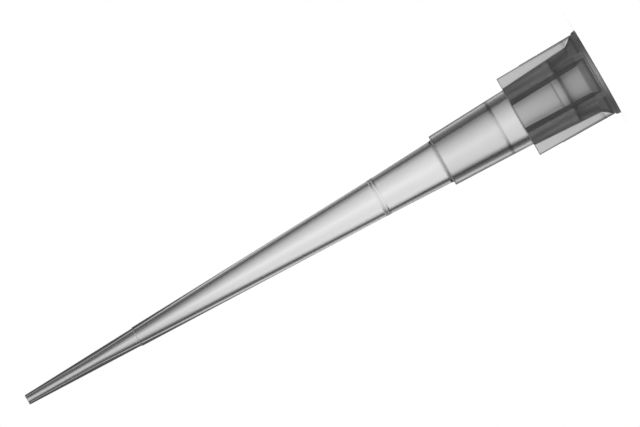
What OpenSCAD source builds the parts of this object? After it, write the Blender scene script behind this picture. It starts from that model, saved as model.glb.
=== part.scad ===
// Pipette tip, one clear moulding.
// It stands on its wide rim with the point up; the origin is the centre of the rim's face.
// Every height runs up from the rim, and every wall is measured square to the axis.

/* [Rim and mouth] */
// Diameter of the rim's face
rim_d = 7.32; // [7.24:0.02:9]
// Height of the rim's edge
rim_h = 0.41; // [0.2:0.01:0.44]
// Taper of the rim's edge, by which its far side is smaller across
rim_draft = 0.1; // [0:0.01:0.2]
// Diameter of the mouth in the rim's face
mouth_d = 5.2; // [4.6:0.05:5.6]
// Diameter of the flare where its slope ends, just inside the rim's edge
flare_d = 7; // [6.4:0.02:7.06]
// Height at which the flare's slope begins
flare_bottom = 0.49; // [0.46:0.01:1.2]
// Slope of the flare, from the axis
flare_angle = 38; // [30:1:60]

/* [Collar] */
// Height of the ribbed collar, from the rim's face to the lower ends of the ribs
collar_h = 7.1; // [5:0.05:10]
// Outer diameter of the collar's tube where the flare begins
hub_mouth_d = 5.78; // [5.2:0.02:6.2]
// Outer diameter of the collar's tube at the lower ends of the ribs
hub_end_d = 5.04; // [4.86:0.02:5.4]

/* [Ribs] */
// Number of ribs round the collar
rib_count = 6; // [3:1:12]
// Thickness of each rib
rib_t = 0.6; // [0.3:0.02:0.9]
// Diameter over the ribs at the rim
rib_rim_d = 7; // [6:0.02:7.4]
// Diameter over the ribs just before their fine step
rib_step_d = 6.86; // [6:0.02:7.4]
// Depth of the fine step in the ribs' outer edges
rib_step_depth = 0.03; // [0.01:0.01:0.2]
// Length of the ribs from the fine step to their lower ends
rib_step_l = 2.05; // [1:0.05:4]
// Diameter over the ribs at their lower ends
rib_end_d = 6.76; // [5.6:0.02:7.6]

/* [Socket] */
// Depth of the funnel behind the mouth
funnel_h = 2.77; // [2:0.01:3.5]
// Diameter of the funnel at its narrow end
funnel_end_d = 4.1; // [3.8:0.02:4.4]
// Height of the steep step at the end of the funnel
funnel_step_h = 0.28; // [0.1:0.02:0.6]
// Diameter of the straight sealing land above that step
land_d = 3.72; // [3.66:0.01:3.78]
// Height of the sealing land
land_h = 0.55; // [0.2:0.01:1]
// Height of the fine step between the land and the long taper
taper_step_h = 0.05; // [0.02:0.01:0.1]
// Diameter of the long taper where it leaves the land
taper_d = 3.6; // [3.44:0.01:3.66]

/* [Neck] */
// Length of the smooth neck above the collar, up to its square shoulder
neck_l = 6.77; // [4:0.01:12]
// Outer diameter of the neck at the collar
neck_wide_d = 4.82; // [4.5:0.02:4.86]
// Outer diameter of the neck at its shoulder
neck_narrow_d = 4.3; // [4:0.02:4.5]
// Wall of the neck at the collar
neck_wide_wall = 0.66; // [0.5:0.01:0.9]
// Wall of the neck at its shoulder
neck_narrow_wall = 0.66; // [0.4:0.01:0.9]
// Height of the fine ramp in the neck's bore above the collar
bore_line_h = 1.54; // [0.5:0.01:3]
// Width of the fine ramp along the bore
bore_line_w = 0.27; // [0.1:0.01:0.6]
// Depth of the fine ramp in the neck's bore
bore_line_depth = 0.04; // [0.01:0.01:0.08]
// Diameter of the small cone where it leaves the shoulder's square face
shoulder_d = 3.78; // [3.7:0.02:3.96]
// Height of the small cone between the shoulder's face and the shaft
shoulder_h = 0.2; // [0.1:0.05:1]

/* [Shaft] */
// Length of the shaft from the shoulder to the volume mark
shaft_upper_l = 5.43; // [3:0.01:15]
// Length of the shaft from the volume mark to the step of the point
shaft_lower_l = 21.55; // [12:0.05:35]
// Outer diameter of the shaft at the shoulder
shaft_neck_d = 3.64; // [3.3:0.02:3.76]
// Outer diameter of the shaft at the volume mark
shaft_mark_d = 3.14; // [2.8:0.02:3.4]
// Outer diameter of the shaft at the step of the point
shaft_point_d = 1.66; // [1.6:0.02:2.2]
// Wall of the shaft at the shoulder
shaft_neck_wall = 0.36; // [0.3:0.01:0.6]
// Wall of the shaft at the volume mark
shaft_mark_wall = 0.29; // [0.25:0.01:0.5]
// Wall of the shaft at the step of the point
shaft_point_wall = 0.41; // [0.3:0.01:0.5]

/* [Volume mark] */
// Width of the raised double ring that marks the volume
mark_w = 0.48; // [0.34:0.02:0.8]
// Height of the double ring over the shaft
mark_h = 0.02; // [0.01:0.005:0.1]
// Length of the ring's sloped flanks along the shaft
mark_flank = 0.1; // [0.02:0.01:0.14]
// Width of the V-shaped groove round the middle of the ring
mark_groove_w = 0.12; // [0.04:0.02:0.2]

/* [Point] */
// Length of the point beyond its step
point_l = 9.73; // [6:0.01:16]
// Height of the small step between shaft and point
point_step_h = 0.1; // [0.05:0.01:0.4]
// Outer diameter of the point at its step
point_wide_d = 1.54; // [1.3:0.02:1.58]
// Outer diameter of the point at the orifice
point_end_d = 0.83; // [0.7:0.01:1.1]
// Wall of the point at its step
point_wide_wall = 0.35; // [0.25:0.01:0.4]
// Wall of the point at the orifice
point_end_wall = 0.22; // [0.12:0.01:0.25]
// Length of the narrow capillary behind the orifice
capillary_l = 6.2; // [2:0.1:8]
// Diameter of the capillary at its inner end
capillary_d = 0.52; // [0.46:0.02:0.6]

/* [Edges] */
// Rounding of the rim's edges and the shoulder's edge
edge_round = 0.07; // [0:0.01:0.1]
// Soft rounding where the flare and the shaft run into the wider parts
blend_round = 0.25; // [0:0.05:0.5]

/* [Hidden] */

// How far a cutting tool reaches past the face that it cuts
reach = 0.2;
// Chords in one rounded corner
round_steps = 5;
// Circle fineness
$fn = 96;

// Heights of the outer form, from the rim up
flare_top = flare_bottom + (flare_d - hub_mouth_d) / 2 / tan(flare_angle);
rib_step_z = collar_h - rib_step_l;
neck_top = collar_h + neck_l;
shaft_bottom = neck_top + shoulder_h;
mark_z = shaft_bottom + shaft_upper_l;
shaft_top = mark_z + shaft_lower_l;
point_bottom = shaft_top + point_step_h;
tip_l = point_bottom + point_l;

// Heights of the bore, from the rim up
land_bottom = funnel_h + funnel_step_h;
land_top = land_bottom + land_h;
taper_bottom = land_top + taper_step_h;
bore_line_z = collar_h + bore_line_h;

// Point at share f of the way from a to b
function between(a, b, f) = a + (b - a) * f;

// Radius at height z on the straight line from [r, z] point a to point b
function radius_at(a, b, z) = between(a.x, b.x, (z - a.y) / (b.y - a.y));

// Outline corner b between a and c, rounded to radius r as far as its sides have room
function rounded(a, b, c, r) =
    let (
        u = (a - b) / norm(a - b),
        v = (c - b) / norm(c - b),
        half = acos(u * v) / 2,
        back = r <= 0 ? 0 : min(r / tan(half), norm(a - b) * 0.45, norm(c - b) * 0.45),
        fit_r = back * tan(half)
    )
    back < 0.001 ? [b] :
    let (
        middle = b + (u + v) / norm(u + v) * fit_r / sin(half),
        first = b + u * back - middle,
        last = b + v * back - middle,
        start = atan2(first.y, first.x),
        turn = atan2(first.x * last.y - first.y * last.x, first * last)
    )
    [for (i = [0 : round_steps])
        middle + fit_r * [cos(start + turn * i / round_steps), sin(start + turn * i / round_steps)]];

// Outline of [r, z, rounding] corners with each corner rounded
function smooth(corners) =
    let (n = len(corners), at = [for (c = corners) [c.x, c.y]])
    [for (i = [0 : n - 1]) each rounded(at[(i + n - 1) % n], at[i], at[(i + 1) % n], corners[i].z)];

// Ends of the shaft's two tapers, outside
shaft_foot = [shaft_neck_d / 2, shaft_bottom];
shaft_mark = [shaft_mark_d / 2, mark_z];
shaft_tip = [shaft_point_d / 2, shaft_top];
mark_low = mark_z - mark_w / 2;
mark_high = mark_z + mark_w / 2;
mark_low_r = radius_at(shaft_foot, shaft_mark, mark_low);
mark_high_r = radius_at(shaft_mark, shaft_tip, mark_high);
groove_low = mark_z - mark_groove_w / 2;
groove_high = mark_z + mark_groove_w / 2;

outer_corners = [
    [0, 0, 0],
    [rim_d / 2, 0, edge_round],
    [(rim_d - rim_draft) / 2, rim_h, edge_round],
    [flare_d / 2, rim_h, 0],
    [flare_d / 2, flare_bottom, 0],
    [hub_mouth_d / 2, flare_top, blend_round],
    [hub_end_d / 2, collar_h, 0],
    [neck_wide_d / 2, collar_h, 0],
    [neck_narrow_d / 2, neck_top, edge_round],
    [shoulder_d / 2, neck_top, 0],
    [shaft_foot.x, shaft_foot.y, blend_round],
    [mark_low_r, mark_low, 0],
    [mark_low_r + mark_h, mark_low + mark_flank, 0],
    [shaft_mark.x + mark_h, groove_low, 0],
    [shaft_mark.x, mark_z, 0],
    [shaft_mark.x + mark_h, groove_high, 0],
    [mark_high_r + mark_h, mark_high - mark_flank, 0],
    [mark_high_r, mark_high, 0],
    [shaft_tip.x, shaft_tip.y, 0],
    [point_wide_d / 2, point_bottom, 0],
    [point_end_d / 2, tip_l, 0],
    [0, tip_l, 0]
];

// Ends of the neck's bore, at the collar and at the shoulder
neck_bore_wide = [neck_wide_d / 2 - neck_wide_wall, collar_h];
neck_bore_narrow = [neck_narrow_d / 2 - neck_narrow_wall, neck_top];
bore_line_r = radius_at(neck_bore_wide, neck_bore_narrow, bore_line_z);
orifice_r = point_end_d / 2 - point_end_wall;

bore_corners = [
    [0, -reach, 0],
    [mouth_d / 2, -reach, 0],
    [mouth_d / 2, 0, 0],
    [funnel_end_d / 2, funnel_h, 0],
    [land_d / 2, land_bottom, 0],
    [land_d / 2, land_top, 0],
    [taper_d / 2, taper_bottom, 0],
    [neck_bore_wide.x, neck_bore_wide.y, 0],
    [bore_line_r, bore_line_z, 0],
    [bore_line_r - bore_line_depth, bore_line_z + bore_line_w, 0],
    [neck_bore_narrow.x, neck_bore_narrow.y, 0],
    [shaft_foot.x - shaft_neck_wall, shaft_bottom, 0],
    [shaft_mark.x - shaft_mark_wall, mark_z, 0],
    [shaft_tip.x - shaft_point_wall, shaft_top, 0],
    [point_wide_d / 2 - point_wide_wall, point_bottom, 0],
    [capillary_d / 2, tip_l - capillary_l, 0],
    [orifice_r, tip_l, 0],
    [orifice_r, tip_l + reach, 0],
    [0, tip_l + reach, 0]
];

// One rib: a flat blade from the axis out to its tapered, stepped edge, trimmed later by the bore
module rib() {
    rotate([90, 0, 0])
        linear_extrude(height = rib_t, center = true)
            polygon([
                [0, rim_h],
                [rib_rim_d / 2, rim_h],
                [rib_step_d / 2, rib_step_z],
                [rib_step_d / 2 - rib_step_depth, rib_step_z],
                [rib_end_d / 2, collar_h],
                [0, collar_h]
            ]);
}

module tip() {
    color([0.8, 0.82, 0.83, 0.5])
        difference() {
            union() {
                rotate_extrude()
                    polygon(smooth(outer_corners));
                for (i = [0 : rib_count - 1])
                    rotate([0, 0, i * 360 / rib_count])
                        rib();
            }
            rotate_extrude()
                polygon(smooth(bore_corners));
        }
}

tip();
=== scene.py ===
import math

import bmesh
import bpy
from mathutils import Matrix, Vector


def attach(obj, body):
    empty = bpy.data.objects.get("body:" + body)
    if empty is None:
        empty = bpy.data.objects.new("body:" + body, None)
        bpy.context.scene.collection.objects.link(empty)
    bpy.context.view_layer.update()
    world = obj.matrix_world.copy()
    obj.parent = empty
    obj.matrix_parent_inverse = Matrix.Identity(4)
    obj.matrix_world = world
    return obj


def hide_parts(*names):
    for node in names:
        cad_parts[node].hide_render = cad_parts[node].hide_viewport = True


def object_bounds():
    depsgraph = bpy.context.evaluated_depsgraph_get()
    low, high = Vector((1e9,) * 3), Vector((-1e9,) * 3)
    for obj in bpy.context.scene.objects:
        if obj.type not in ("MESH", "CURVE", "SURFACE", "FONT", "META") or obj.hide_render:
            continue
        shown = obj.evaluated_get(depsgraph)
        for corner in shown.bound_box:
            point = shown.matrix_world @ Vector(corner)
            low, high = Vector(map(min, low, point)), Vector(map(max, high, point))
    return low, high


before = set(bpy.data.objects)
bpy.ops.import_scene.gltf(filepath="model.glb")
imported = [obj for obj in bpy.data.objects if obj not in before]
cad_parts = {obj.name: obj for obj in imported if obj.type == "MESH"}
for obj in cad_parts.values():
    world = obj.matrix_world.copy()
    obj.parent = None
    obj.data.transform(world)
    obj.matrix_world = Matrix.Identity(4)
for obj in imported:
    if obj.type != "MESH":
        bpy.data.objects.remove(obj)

MM = 0.001


def corners_of(bounds):
    return [list(corner) for corner in bounds]


cad_box = corners_of(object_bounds())
low, high = (Vector(corner) for corner in cad_box)
TIP_LENGTH = high.z - low.z

# ---------------------------------------------------------------- sizes of the tip
# Heights run up from the rim's face, on which the tip stands.

RIM_R = 3.66 * MM
RIM_H = 0.41 * MM
RIM_DRAFT = 0.05 * MM
MOUTH_R = 2.6 * MM

COLLAR_H = 7.1 * MM
HUB_MOUTH_R = 2.89 * MM
HUB_END_R = 2.52 * MM
FLARE_R = 3.5 * MM
FLARE_BOTTOM = 0.49 * MM
FLARE_SLOPE = 1 / math.tan(math.radians(38))
FLARE_TOP = FLARE_BOTTOM + (FLARE_R - HUB_MOUTH_R) * FLARE_SLOPE

RIB_COUNT = 6
RIB_T = 0.6 * MM
RIB_RIM_R = 3.5 * MM
RIB_STEP_R = 3.43 * MM
RIB_STEP_DEPTH = 0.03 * MM
RIB_STEP_L = 2.05 * MM
RIB_END_R = 3.38 * MM
RIB_EDGE = 0.12 * MM
RIB_EDGE_STEPS = 6

FUNNEL_H = 2.77 * MM
FUNNEL_END_R = 2.05 * MM
LAND_BOTTOM = 3.05 * MM
LAND_TOP = 3.6 * MM
LAND_R = 1.86 * MM
TAPER_BOTTOM = 3.65 * MM
TAPER_R = 1.8 * MM

NECK_TOP = 13.87 * MM
NECK_WIDE_R = 2.41 * MM
NECK_NARROW_R = 2.15 * MM
NECK_WIDE_WALL = 0.66 * MM
NECK_NARROW_WALL = 0.66 * MM
BORE_LINE_H = 1.54 * MM
BORE_LINE_DEPTH = 0.04 * MM
BORE_LINE_W = 0.27 * MM
BORE_LINE_ROUND = 0.1 * MM
SHOULDER_R = 1.89 * MM
SHOULDER_H = 0.2 * MM

SHAFT_BOTTOM = NECK_TOP + SHOULDER_H
MARK_Z = SHAFT_BOTTOM + 5.43 * MM
SHAFT_TOP = MARK_Z + 21.55 * MM
SHAFT_NECK_R = 1.82 * MM
SHAFT_MARK_R = 1.57 * MM
SHAFT_POINT_R = 0.83 * MM
SHAFT_NECK_WALL = 0.36 * MM
SHAFT_MARK_WALL = 0.29 * MM
SHAFT_POINT_WALL = 0.41 * MM

MARK_W = 0.48 * MM
MARK_H = 0.02 * MM
MARK_FLANK = 0.1 * MM
MARK_GROOVE_W = 0.12 * MM
MARK_ROUND = 0.02 * MM

POINT_STEP_H = 0.1 * MM
POINT_WIDE_R = 0.77 * MM
POINT_END_R = 0.415 * MM
POINT_WIDE_WALL = 0.35 * MM
POINT_END_WALL = 0.22 * MM
CAPILLARY_L = 6.2 * MM
CAPILLARY_R = 0.26 * MM

TURN_STEPS = 240
ROUND_STEPS = 4
SHARP_FROM = math.radians(2.6)
MERGE_WITHIN = 0.0001 * MM
SAME_WITHIN = 0.002 * MM
EDGE_ROUND = 0.07 * MM
LIP_ROUND = 0.11 * MM
FINE_ROUND = 0.03 * MM
BLEND_ROUND = 0.12 * MM


# ---------------------------------------------------------------- shader helpers

class Value:
    """A shader socket that can be used in Python arithmetic."""

    def __init__(self, tree, socket):
        self.tree = tree
        self.socket = socket

    def math(self, operation, *others):
        return self.tree.node("ShaderNodeMath", {"operation": operation}, [self, *others])

    def __add__(self, other):
        return self.math("ADD", other)

    __radd__ = __add__

    def __mul__(self, other):
        return self.math("MULTIPLY", other)

    __rmul__ = __mul__

    def __sub__(self, other):
        return self.math("SUBTRACT", other)

    def __rsub__(self, other):
        return self.tree.node("ShaderNodeMath", {"operation": "SUBTRACT"}, [other, self])

    def __truediv__(self, other):
        return self.math("DIVIDE", other)

    def __rtruediv__(self, other):
        return self.tree.node("ShaderNodeMath", {"operation": "DIVIDE"}, [other, self])

    def ramp(self, start, end):
        """0 below start and 1 above end, with a soft curve between them."""
        return self.tree.node(
            "ShaderNodeMapRange",
            {"interpolation_type": "SMOOTHSTEP"},
            {"Value": self, "From Min": start, "From Max": end},
        )


class Tree:
    """Adds nodes to a material's or a world's node tree."""

    def __init__(self, owner):
        owner.use_nodes = True
        self.nodes = owner.node_tree.nodes
        self.links = owner.node_tree.links
        self.nodes.clear()

    def node(self, kind, settings=None, inputs=None, output=0):
        """Makes a node with its settings and inputs, and returns one output as a Value."""
        made = self.nodes.new(kind)
        for name, setting in (settings or {}).items():
            setattr(made, name, setting)
        pairs = inputs.items() if isinstance(inputs, dict) else enumerate(inputs or [])
        for key, source in pairs:
            if isinstance(source, Value):
                self.links.new(source.socket, made.inputs[key])
            else:
                made.inputs[key].default_value = source
        return Value(self, made.outputs[output]) if made.outputs else made

    def parts(self, vector):
        """The three parts of a vector."""
        split = self.nodes.new("ShaderNodeSeparateXYZ")
        self.links.new(vector.socket, split.inputs[0])
        return [Value(self, split.outputs[i]) for i in range(3)]


# ---------------------------------------------------------------- clear plastic

IOR = 1.49
ABSORPTION = 210.0
GRAIN_SCALE = 2600.0
GRAIN_DETAIL = 2.0
GRAIN_STRENGTH = 0.03
GRAIN_DEPTH = 0.01 * MM
ROUGHNESS = 0.04
GRAIN_ROUGHNESS = 0.03
FROST = 0.3

# How far inside the collar's end radius its frosted outside begins, and where that is full.
# The same mask also carries the collar's painted shade and painted glow.
COLLAR_SKIN = (0.12 * MM, 0.04 * MM)
COLLAR_END_SOFT = 0.02 * MM

# Pairs of painted shade: at the rim and at the collar's end, or in the middle and at the sides.
COLLAR_PAINTED_SHADE = (0.38, 0.31)
COLLAR_SIDE_PAINTED_SHADE = (0.26, 0.5)
LIP_PAINTED_SHADE = (0.12, 0.65)
POINT_PAINTED_SHADE = (0.2, 0.6)
POINT_PAINTED_SHADE_FROM = 30 * MM
PAST_FLARE = (0.03 * MM, 0.2 * MM)

# From facing the eye, 0, to edge on, 1: where a face counts as a side and as the outline.
SIDE_FROM = (0.04, 0.3)
OUTLINE_FROM = (0.55, 0.85)
# Painted shade on the outline: its usual depth, and its depth on the collar and on the shaft.
OUTLINE_PAINTED_SHADE = 0.85
COLLAR_OUTLINE_PAINTED_SHADE = 0.2
SHAFT_OUTLINE_PAINTED_SHADE = 0.15
SHAFT_FADE = 2.5 * MM

# Softness and inset of the lines of painted shade at the fine steps.
LINE_SOFT = 0.015 * MM
LINE_INSET = 0.1 * MM
# Painted shade along the ribs' outer edges, and its width.
RIB_EDGE_PAINTED_SHADE = 0.6
RIB_LINE_W = (0.1 * MM, 0.04 * MM)

# A painted glow on the flat ends and the collar, and how thin an end face is.
PAINTED_END_GLOW = 0.15
END_THIN = 0.01 * MM
COLLAR_PAINTED_GLOW = 0.012


def painted_shade_lines():
    """Fine steps with lines of painted shade: both heights, both radii, middle and side darkness.

    The radii keep each line off the bore and off the parts beside it.
    """
    line_z = COLLAR_H + BORE_LINE_H
    flank = (MARK_W - MARK_GROOVE_W) / 2
    low_ring = MARK_Z - MARK_W / 2
    high_ring = MARK_Z + MARK_GROOVE_W / 2
    ring_r = SHAFT_MARK_R - LINE_INSET
    foot_r = SHAFT_NECK_R - LINE_INSET
    point_r = POINT_WIDE_R - LINE_INSET
    neck_r = NECK_NARROW_R - 2 * FINE_ROUND
    end_r = NECK_WIDE_R - 0.02 * MM
    cone_r = SHOULDER_R + 0.02 * MM
    blend_z = [FLARE_TOP + offset * MM for offset in (-0.1, 0.08, 0.25)]
    end_z = [COLLAR_H + offset * MM for offset in (-0.06, 0.04)]
    neck_z = [NECK_TOP + offset * MM for offset in (-0.12, -0.03, 0.03)]
    cone_z = [NECK_TOP - FINE_ROUND, NECK_TOP + 0.13 * MM, SHAFT_BOTTOM + 0.03 * MM]
    point_z = [SHAFT_TOP - 0.05 * MM, SHAFT_TOP + POINT_STEP_H]
    return [
        (RIM_H, FLARE_BOTTOM, HUB_MOUTH_R, RIM_R, 0.55, 0.55),
        (blend_z[0], blend_z[1], HUB_END_R, RIM_R, 0.3, 0.1),
        (blend_z[1], blend_z[2], HUB_END_R, RIM_R, 0.15, 0.05),
        (end_z[0], end_z[1], end_r, RIM_R, 0.75, 0.65),
        (line_z, line_z + BORE_LINE_W, 0, RIM_R, 0.1, 0.35),
        (neck_z[0], neck_z[1], neck_r, RIM_R, 0.25, 0.5),
        (neck_z[1], neck_z[2], neck_r, RIM_R, 0.75, 0.95),
        (cone_z[0], cone_z[1], foot_r, cone_r, 0.75, 0.95),
        (cone_z[1], cone_z[2], foot_r, cone_r, 0.35, 0.75),
        (low_ring, low_ring + flank, ring_r, RIM_R, 0, 0.6),
        (low_ring + flank, high_ring, ring_r, RIM_R, 0.06, 0.4),
        (high_ring, high_ring + flank, ring_r, RIM_R, 0, 0.6),
        (point_z[0], point_z[1], point_r, RIM_R, 0, 0.85),
    ]


def mixed(start, end, share):
    """From start to end as share goes from 0 to 1."""
    return start + (end - start) * share


def painted_shade_tint(tree, from_axis, height, collar):
    """How much light the surface lets in: a tint of painted shade.

    It is less on the collar and the point, on glancing faces and on fine steps.
    """
    # Painted shade on the collar and the lip, deeper where a face turns away from the eye.
    facing = tree.node("ShaderNodeLayerWeight", None, {"Blend": 0.5}, "Facing")
    side = facing.ramp(*SIDE_FROM)
    along = height.ramp(FLARE_TOP, COLLAR_H)
    tube = mixed(*COLLAR_PAINTED_SHADE, along) + mixed(*COLLAR_SIDE_PAINTED_SHADE, along) * side
    lip = mixed(*LIP_PAINTED_SHADE, side)
    cone = FLARE_BOTTOM + FLARE_R * FLARE_SLOPE
    flare_ends = [cone + past for past in PAST_FLARE]
    past_flare = (height + from_axis * FLARE_SLOPE).ramp(*flare_ends)
    clear = 1 - collar * mixed(lip, tube, past_flare)

    # Painted shade on the outline, lighter on the collar and the shaft.
    shaft = height.ramp(MARK_Z - SHAFT_FADE, MARK_Z + SHAFT_FADE)
    shaft = shaft * (1 - height.ramp(SHAFT_TOP - 2 * SHAFT_FADE, SHAFT_TOP - SHAFT_FADE))
    outline = OUTLINE_PAINTED_SHADE + (COLLAR_OUTLINE_PAINTED_SHADE - OUTLINE_PAINTED_SHADE) * collar * past_flare
    outline = outline + (SHAFT_OUTLINE_PAINTED_SHADE - OUTLINE_PAINTED_SHADE) * shaft
    clear = clear * (1 - outline * facing.ramp(*OUTLINE_FROM))

    # Painted shade towards the point, deeper on its sides.
    point = height.ramp(POINT_PAINTED_SHADE_FROM, TIP_LENGTH)
    clear = clear * (1 - point * mixed(*POINT_PAINTED_SHADE, side))
    # Painted shade in lines at the fine steps.
    for low_z, high_z, least_r, greatest_r, middle_dark, side_dark in painted_shade_lines():
        line = height.ramp(low_z - LINE_SOFT, low_z + LINE_SOFT)
        line = line * (1 - height.ramp(high_z - LINE_SOFT, high_z + LINE_SOFT))
        line = line * from_axis.math("GREATER_THAN", least_r)
        line = line * from_axis.math("LESS_THAN", greatest_r)
        clear = clear * (1 - line * mixed(middle_dark, side_dark, side))
    # Painted shade along the ribs' outer edges.
    rib_starts = [RIB_END_R - width for width in RIB_LINE_W]
    rib_edge = from_axis.ramp(*rib_starts) * height.math("GREATER_THAN", FLARE_BOTTOM)
    return clear * (1 - rib_edge * RIB_EDGE_PAINTED_SHADE)


def painted_glow_ends(height):
    """1 on the flat faces square to the axis, which get a painted glow where light led along the
    wall comes out.
    """
    ends = 0
    for end_z in (COLLAR_H, NECK_TOP, TIP_LENGTH):
        away = (height - end_z).math("ABSOLUTE")
        ends = ends + away.math("LESS_THAN", END_THIN)
    return ends


def clear_plastic():
    """Natural polypropylene: clear, faintly grey, with a fine moulded texture, painted shade and a
    painted glow.
    """
    material = bpy.data.materials.new("clear_plastic")
    tree = Tree(material)
    place = tree.node("ShaderNodeTexCoord", output="Object")
    grain = tree.node(
        "ShaderNodeTexNoise",
        None,
        {"Vector": place, "Scale": GRAIN_SCALE, "Detail": GRAIN_DETAIL},
    )
    bump = tree.node(
        "ShaderNodeBump",
        None,
        {"Strength": GRAIN_STRENGTH, "Distance": GRAIN_DEPTH, "Height": grain},
    )
    x, y, height = tree.parts(place)
    from_axis = (x * x + y * y).math("SQRT")
    skin_starts = [HUB_END_R - depth for depth in COLLAR_SKIN]
    past_collar = height.ramp(COLLAR_H - COLLAR_END_SOFT, COLLAR_H + COLLAR_END_SOFT)
    collar = from_axis.ramp(*skin_starts) * (1 - past_collar)
    body = tree.node(
        "ShaderNodeBsdfPrincipled",
        None,
        {
            # The base colour carries the painted shade.
            "Base Color": painted_shade_tint(tree, from_axis, height, collar),
            "Roughness": ROUGHNESS + grain * GRAIN_ROUGHNESS + collar * FROST,
            "IOR": IOR,
            "Transmission Weight": 1.0,
            # A painted glow on the flat ends and the collar.
            "Emission Color": painted_glow_ends(height) * PAINTED_END_GLOW + collar * COLLAR_PAINTED_GLOW,
            "Emission Strength": 1.0,
            "Normal": bump,
        },
    )
    depth = tree.node(
        "ShaderNodeVolumeAbsorption", None, {"Color": (0, 0, 0, 1), "Density": ABSORPTION}
    )
    tree.node("ShaderNodeOutputMaterial", None, {"Surface": body, "Volume": depth})
    return material


# ---------------------------------------------------------------- the tip

def between(a, b, height):
    """Radius at a height on the straight line from the (radius, height) pair a to b."""
    return a[0] + (b[0] - a[0]) * (height - a[1]) / (b[1] - a[1])


def tip_outline():
    """Closed outline of the wall as (radius, height, rounding), up the outside and down the bore."""
    shaft_foot = (SHAFT_NECK_R, SHAFT_BOTTOM)
    shaft_mark = (SHAFT_MARK_R, MARK_Z)
    shaft_tip = (SHAFT_POINT_R, SHAFT_TOP)
    mark_low = MARK_Z - MARK_W / 2
    mark_high = MARK_Z + MARK_W / 2
    low_r = between(shaft_foot, shaft_mark, mark_low)
    high_r = between(shaft_mark, shaft_tip, mark_high)
    bore_wide = (NECK_WIDE_R - NECK_WIDE_WALL, COLLAR_H)
    bore_narrow = (NECK_NARROW_R - NECK_NARROW_WALL, NECK_TOP)
    line_z = COLLAR_H + BORE_LINE_H
    line_r = between(bore_wide, bore_narrow, line_z)
    outside = [
        (RIM_R, 0, EDGE_ROUND),
        (RIM_R - RIM_DRAFT, RIM_H, LIP_ROUND),
        (FLARE_R, RIM_H, 0),
        (FLARE_R, FLARE_BOTTOM, 0),
        (HUB_MOUTH_R, FLARE_TOP, BLEND_ROUND),
        (HUB_END_R, COLLAR_H, FINE_ROUND),
        (NECK_WIDE_R, COLLAR_H, 0),
        (NECK_NARROW_R, NECK_TOP, FINE_ROUND),
        (SHOULDER_R, NECK_TOP, 0),
        (SHAFT_NECK_R, SHAFT_BOTTOM, 0),
        (low_r, mark_low, MARK_ROUND),
        (low_r + MARK_H, mark_low + MARK_FLANK, MARK_ROUND),
        (SHAFT_MARK_R + MARK_H, MARK_Z - MARK_GROOVE_W / 2, MARK_ROUND),
        (SHAFT_MARK_R, MARK_Z, MARK_ROUND),
        (SHAFT_MARK_R + MARK_H, MARK_Z + MARK_GROOVE_W / 2, MARK_ROUND),
        (high_r + MARK_H, mark_high - MARK_FLANK, MARK_ROUND),
        (high_r, mark_high, MARK_ROUND),
        (SHAFT_POINT_R, SHAFT_TOP, FINE_ROUND),
        (POINT_WIDE_R, SHAFT_TOP + POINT_STEP_H, 0),
        (POINT_END_R, TIP_LENGTH, FINE_ROUND),
    ]
    bore = [
        (POINT_END_R - POINT_END_WALL, TIP_LENGTH, FINE_ROUND),
        (CAPILLARY_R, TIP_LENGTH - CAPILLARY_L, 0),
        (POINT_WIDE_R - POINT_WIDE_WALL, SHAFT_TOP + POINT_STEP_H, 0),
        (SHAFT_POINT_R - SHAFT_POINT_WALL, SHAFT_TOP, 0),
        (SHAFT_MARK_R - SHAFT_MARK_WALL, MARK_Z, 0),
        (SHAFT_NECK_R - SHAFT_NECK_WALL, SHAFT_BOTTOM, 0),
        (bore_narrow[0], bore_narrow[1], 0),
        (line_r - BORE_LINE_DEPTH, line_z + BORE_LINE_W, BORE_LINE_ROUND),
        (line_r, line_z, BORE_LINE_ROUND),
        (bore_wide[0], bore_wide[1], 0),
        (TAPER_R, TAPER_BOTTOM, 0),
        (LAND_R, LAND_TOP, 0),
        (LAND_R, LAND_BOTTOM, 0),
        (FUNNEL_END_R, FUNNEL_H, 0),
        (MOUTH_R, 0, EDGE_ROUND),
    ]
    return outside + bore


def on_ring(vertex, radius, height):
    from_axis = math.hypot(vertex.co.x, vertex.co.y)
    return abs(from_axis - radius) < SAME_WITHIN and abs(vertex.co.z - height) < SAME_WITHIN


def round_ring(mesh, radius, height, rounding):
    """Rounds the corner that runs round the axis at a radius and a height."""
    edges = [
        edge
        for edge in mesh.edges
        if all(on_ring(vertex, radius, height) for vertex in edge.verts)
    ]
    bmesh.ops.bevel(
        mesh,
        geom=edges,
        offset=rounding,
        offset_type="OFFSET",
        affect="EDGES",
        segments=ROUND_STEPS,
        profile=0.5,
        material=-1,
        clamp_overlap=True,
    )


def revolved_wall():
    """The tip's wall without its ribs: the outline spun once round the axis."""
    outline = tip_outline()
    mesh = bmesh.new()
    ring = [mesh.verts.new((radius, 0, height)) for radius, height, _ in outline]
    edges = [mesh.edges.new((ring[i - 1], ring[i])) for i in range(len(ring))]
    bmesh.ops.spin(
        mesh,
        geom=ring + edges,
        cent=(0, 0, 0),
        axis=(0, 0, 1),
        angle=math.tau,
        steps=TURN_STEPS,
        use_merge=True,
    )
    bmesh.ops.remove_doubles(mesh, verts=mesh.verts, dist=MERGE_WITHIN)
    bmesh.ops.recalc_face_normals(mesh, faces=mesh.faces)
    for radius, height, rounding in outline:
        if rounding:
            round_ring(mesh, radius, height, rounding)
    return mesh


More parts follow.
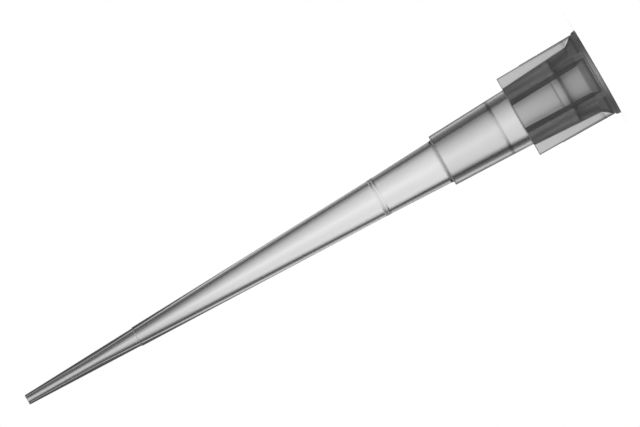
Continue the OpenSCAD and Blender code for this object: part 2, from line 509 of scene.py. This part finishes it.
def rib_sections():
    """Cross-sections of a rib as (height, inner radius, outer radius), from the rim up."""
    step_z = COLLAR_H - RIB_STEP_L
    rim = (RIB_RIM_R, RIM_H)
    wide = (RIB_STEP_R, step_z)
    narrow = (RIB_STEP_R - RIB_STEP_DEPTH, step_z + RIB_STEP_DEPTH)
    inner_flare = ((HUB_MOUTH_R + MOUTH_R) / 2, FLARE_TOP + RIM_H / 2)
    inner_end = (HUB_END_R - NECK_WIDE_WALL / 2, COLLAR_H)
    low = RIM_H / 2
    return [
        (low, (RIM_R + MOUTH_R) / 2, between(rim, wide, low)),
        (inner_flare[1], inner_flare[0], between(rim, wide, inner_flare[1])),
        (wide[1], between(inner_flare, inner_end, wide[1]), wide[0]),
        (narrow[1], between(inner_flare, inner_end, narrow[1]), narrow[0]),
        (COLLAR_H, inner_end[0], RIB_END_R),
    ]


def rib_blades():
    """The ribs, each a flat blade from inside the collar's wall out to its rounded edge."""
    mesh = bmesh.new()
    half = RIB_T / 2
    loops = []
    for height, inner, outer in rib_sections():
        outline = [(inner, -half)]
        for side in (-1, 1):
            for i in range(RIB_EDGE_STEPS + 1):
                share = i / RIB_EDGE_STEPS
                turn = math.pi / 2 * (share if side > 0 else share - 1)
                x = outer - RIB_EDGE * (1 - math.cos(turn))
                y = side * (half - RIB_EDGE) + RIB_EDGE * math.sin(turn)
                outline.append((x, y))
        outline.append((inner, half))
        loops.append([mesh.verts.new((x, y, height)) for x, y in outline])
    for lower, upper in zip(loops, loops[1:]):
        for i in range(len(lower)):
            mesh.faces.new((lower[i - 1], lower[i], upper[i], upper[i - 1]))
    mesh.faces.new(loops[0])
    mesh.faces.new(loops[-1])
    bmesh.ops.recalc_face_normals(mesh, faces=mesh.faces)
    first = list(mesh.verts) + list(mesh.edges) + list(mesh.faces)
    for i in range(1, RIB_COUNT):
        copy = bmesh.ops.duplicate(mesh, geom=first)["geom"]
        turned = [item for item in copy if isinstance(item, bmesh.types.BMVert)]
        turn = Matrix.Rotation(math.tau * i / RIB_COUNT, 3, "Z")
        bmesh.ops.rotate(mesh, verts=turned, cent=(0, 0, 0), matrix=turn)
    return mesh


def piece_from(mesh, name):
    data = bpy.data.meshes.new(name)
    mesh.to_mesh(data)
    mesh.free()
    piece = bpy.data.objects.new(name, data)
    bpy.context.scene.collection.objects.link(piece)
    return piece


def apply_modifiers(piece):
    """Leaves the piece with its modifiers' result as its own mesh."""
    graph = bpy.context.evaluated_depsgraph_get()
    result = bpy.data.meshes.new_from_object(piece.evaluated_get(graph))
    piece.modifiers.clear()
    piece.data = result


def moulded_tip():
    """The whole tip: the wall and its ribs joined into one closed shell."""
    tip = piece_from(revolved_wall(), "moulded_tip")
    ribs = piece_from(rib_blades(), "ribs")
    union = tip.modifiers.new("ribs", "BOOLEAN")
    union.operation = "UNION"
    union.solver = "EXACT"
    union.object = ribs
    apply_modifiers(tip)
    bpy.data.objects.remove(ribs)
    tip.data.shade_smooth()
    tip.data.set_sharp_from_angle(angle=SHARP_FROM)
    tip.data.materials.clear()
    tip.data.materials.append(clear_plastic())
    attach(tip, "root")
    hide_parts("tip")
    return tip


# ---------------------------------------------------------------- studio

WHITE = (1, 1, 1, 1)

# Brightness of the light panels, of their sides when mirrored, of the gaps and of the room.
PANEL_LEVEL = 0.92
SIDE_LEVEL = 0.75
SIDE_MIRRORED = 0.3
GAP_LEVEL = 0.045
ROOM_LEVEL = 0.55

# Half width of the panels to their right and left, and how sharply they fade there.
PANEL_SPREAD = (math.radians(13), math.radians(25))
PANEL_SHARPNESS = (1.7, 4.0)
SIDE_SPREAD = (math.radians(13), math.radians(13))
SIDE_SHARPNESS = (4.0, 4.0)
PANEL_TALL = 0.2
TALL_SHARPNESS = 3.0

# The floor as the plastic shows it: a painted shadow under the rim, and the panels' light painted on
# far out.
FLOOR_R = 0.3
FLOOR_SIDES = 96
FLOOR_COLOUR = (0.8, 0.8, 0.8, 1)
FLOOR_GLOW = 0.46
UNDER_RIM_PAINTED_SHADOW = 0.2
RIM_SHADE = (2.6 * MM, 7 * MM)
FLOOR_FAR = (0.19, 0.27)

# Each lamp's place, width and power.
LAMPS = {
    "key_lamp": ((-0.25, -0.3, 0.45), 0.3, 0.6),
    "fill_lamp": ((0.35, -0.15, 0.3), 0.3, 0.3),
    "back_lamp": ((0.1, 0.4, 0.35), 0.3, 0.3),
}

# The tip's length and the aim's offset from its middle are shares of the view's width.
VIEW_LENS = 1000.0
SENSOR = 36.0
CLIP = (0.1, 10.0)
SLANT = math.radians(29.95)
TILT = math.radians(0.15)
LENGTH_SHARE = 1.0288125
OFF_CENTRE = (0.011703125, 0.034578125)


def camera():
    """A long lens low beside the tip, looking up a little, with the rim at the top right."""
    data = bpy.data.cameras.new("camera")
    data.sensor_width = SENSOR
    data.lens = VIEW_LENS
    data.clip_start, data.clip_end = CLIP
    seen_w = TIP_LENGTH / LENGTH_SHARE
    distance = seen_w * VIEW_LENS / SENSOR
    right = Vector((-math.sin(SLANT), 0, -math.cos(SLANT)))
    up = Vector((math.cos(SLANT), 0, -math.sin(SLANT)))
    middle = Vector((0, 0, TIP_LENGTH / 2))
    aim = middle + seen_w * (OFF_CENTRE[0] * right + OFF_CENTRE[1] * up)
    back = Vector((0, -1, 0))
    turn = Matrix.Rotation(TILT, 3, "X") @ Matrix((right, up, back)).transposed()
    lens = bpy.data.objects.new("camera", data)
    lens.matrix_world = Matrix.Translation(aim + turn.col[2] * distance) @ turn.to_4x4()
    bpy.context.scene.collection.objects.link(lens)
    bpy.context.scene.camera = lens


def panel(across, ahead, spread_right, spread_left, sharpness_right, sharpness_left):
    """A soft upright light panel ahead, which fades to its right and left at its own rates."""
    turn = across.math("ARCTAN2", ahead)
    right = turn.math("GREATER_THAN", 0)
    spread = spread_left + right * (spread_right - spread_left)
    sharpness = sharpness_left + right * (sharpness_right - sharpness_left)
    return 1 / (1 + (turn.math("ABSOLUTE") / spread).math("POWER", sharpness))


def panel_pattern(x, y, is_through):
    """Brightness round the tip: a pair of panels ahead and behind, a weaker pair at the sides."""
    long_pair = panel(x, y.math("ABSOLUTE"), *PANEL_SPREAD, *PANEL_SHARPNESS)
    side_pair = panel(y, x.math("ABSOLUTE"), *SIDE_SPREAD, *SIDE_SHARPNESS)
    side_pair = side_pair * (SIDE_MIRRORED + (SIDE_LEVEL - SIDE_MIRRORED) * is_through)
    return GAP_LEVEL + (PANEL_LEVEL - GAP_LEVEL) * long_pair.math("MAXIMUM", side_pair)


def studio_world():
    """White to the camera; for the plastic, soft panels on four sides with dim gaps."""
    world = bpy.data.worlds.new("studio")
    bpy.context.scene.world = world
    tree = Tree(world)
    paths = tree.nodes.new("ShaderNodeLightPath")
    is_camera = Value(tree, paths.outputs["Is Camera Ray"])
    is_glossy = Value(tree, paths.outputs["Is Glossy Ray"])
    is_through = Value(tree, paths.outputs["Is Transmission Ray"])
    direction = tree.node("ShaderNodeTexCoord", output="Generated")
    x, y, z = tree.parts(direction)
    tall = 1 / (1 + (z.math("ABSOLUTE") / PANEL_TALL).math("POWER", TALL_SHARPNESS))
    pattern = GAP_LEVEL + (panel_pattern(x, y, is_through) - GAP_LEVEL) * tall
    bent = is_glossy.math("MAXIMUM", is_through)
    other = ROOM_LEVEL * (1 - bent) + pattern * bent
    strength = is_camera + (1 - is_camera) * other
    background = tree.node(
        "ShaderNodeBackground", None, {"Color": WHITE, "Strength": strength}
    )
    tree.node("ShaderNodeOutputWorld", None, {"Surface": background})


def floor_material():
    """Pale and lit for the camera; through the plastic a painted shadow dims it close to the rim,
    white beyond.
    """
    material = bpy.data.materials.new("pale_floor")
    tree = Tree(material)
    paths = tree.nodes.new("ShaderNodeLightPath")
    is_camera = Value(tree, paths.outputs["Is Camera Ray"])
    is_glossy = Value(tree, paths.outputs["Is Glossy Ray"])
    is_through = Value(tree, paths.outputs["Is Transmission Ray"])
    x, y, _ = tree.parts(tree.node("ShaderNodeTexCoord", output="Object"))
    away = (x * x + y * y).math("SQRT")
    # Painted shadow under the rim and painted panel light far out, seen only through the plastic.
    near = UNDER_RIM_PAINTED_SHADOW + (PANEL_LEVEL - UNDER_RIM_PAINTED_SHADOW) * away.ramp(*RIM_SHADE)
    far = away.ramp(*FLOOR_FAR)
    level = near + (panel_pattern(x, y, 1) - near) * far
    matt = tree.node("ShaderNodeBsdfDiffuse", None, {"Color": FLOOR_COLOUR})
    glow = tree.node(
        "ShaderNodeEmission", None, {"Color": WHITE, "Strength": is_camera * FLOOR_GLOW}
    )
    lit = tree.node("ShaderNodeAddShader", None, [matt, glow])
    seen = tree.node("ShaderNodeEmission", None, {"Color": WHITE, "Strength": level})
    bent = is_glossy.math("MAXIMUM", is_through)
    both = tree.node("ShaderNodeMixShader", None, [bent, lit, seen])
    tree.node("ShaderNodeOutputMaterial", None, {"Surface": both})
    return material


def floor():
    """A pale disc under the rim."""
    mesh = bmesh.new()
    bmesh.ops.create_circle(mesh, cap_ends=True, segments=FLOOR_SIDES, radius=FLOOR_R)
    disc = piece_from(mesh, "floor")
    disc.data.materials.append(floor_material())


def soft_lamp(name, place, width, power):
    """A round soft lamp aimed at the tip's middle; the plastic neither mirrors it nor shows it."""
    data = bpy.data.lights.new(name, "AREA")
    data.shape = "DISK"
    data.size = width
    data.energy = power
    lamp = bpy.data.objects.new(name, data)
    lamp.location = place
    lamp.rotation_mode = "QUATERNION"
    lamp.visible_transmission = False
    lamp.visible_glossy = False
    aim = Vector((0, 0, TIP_LENGTH / 2)) - Vector(place)
    lamp.rotation_quaternion = aim.to_track_quat("-Z", "Y")
    bpy.context.scene.collection.objects.link(lamp)


def studio():
    scene = bpy.context.scene
    scene.view_settings.view_transform = "Standard"
    camera()
    studio_world()
    floor()
    for name, (place, width, power) in LAMPS.items():
        soft_lamp(name, place, width, power)


moulded_tip()
studio()
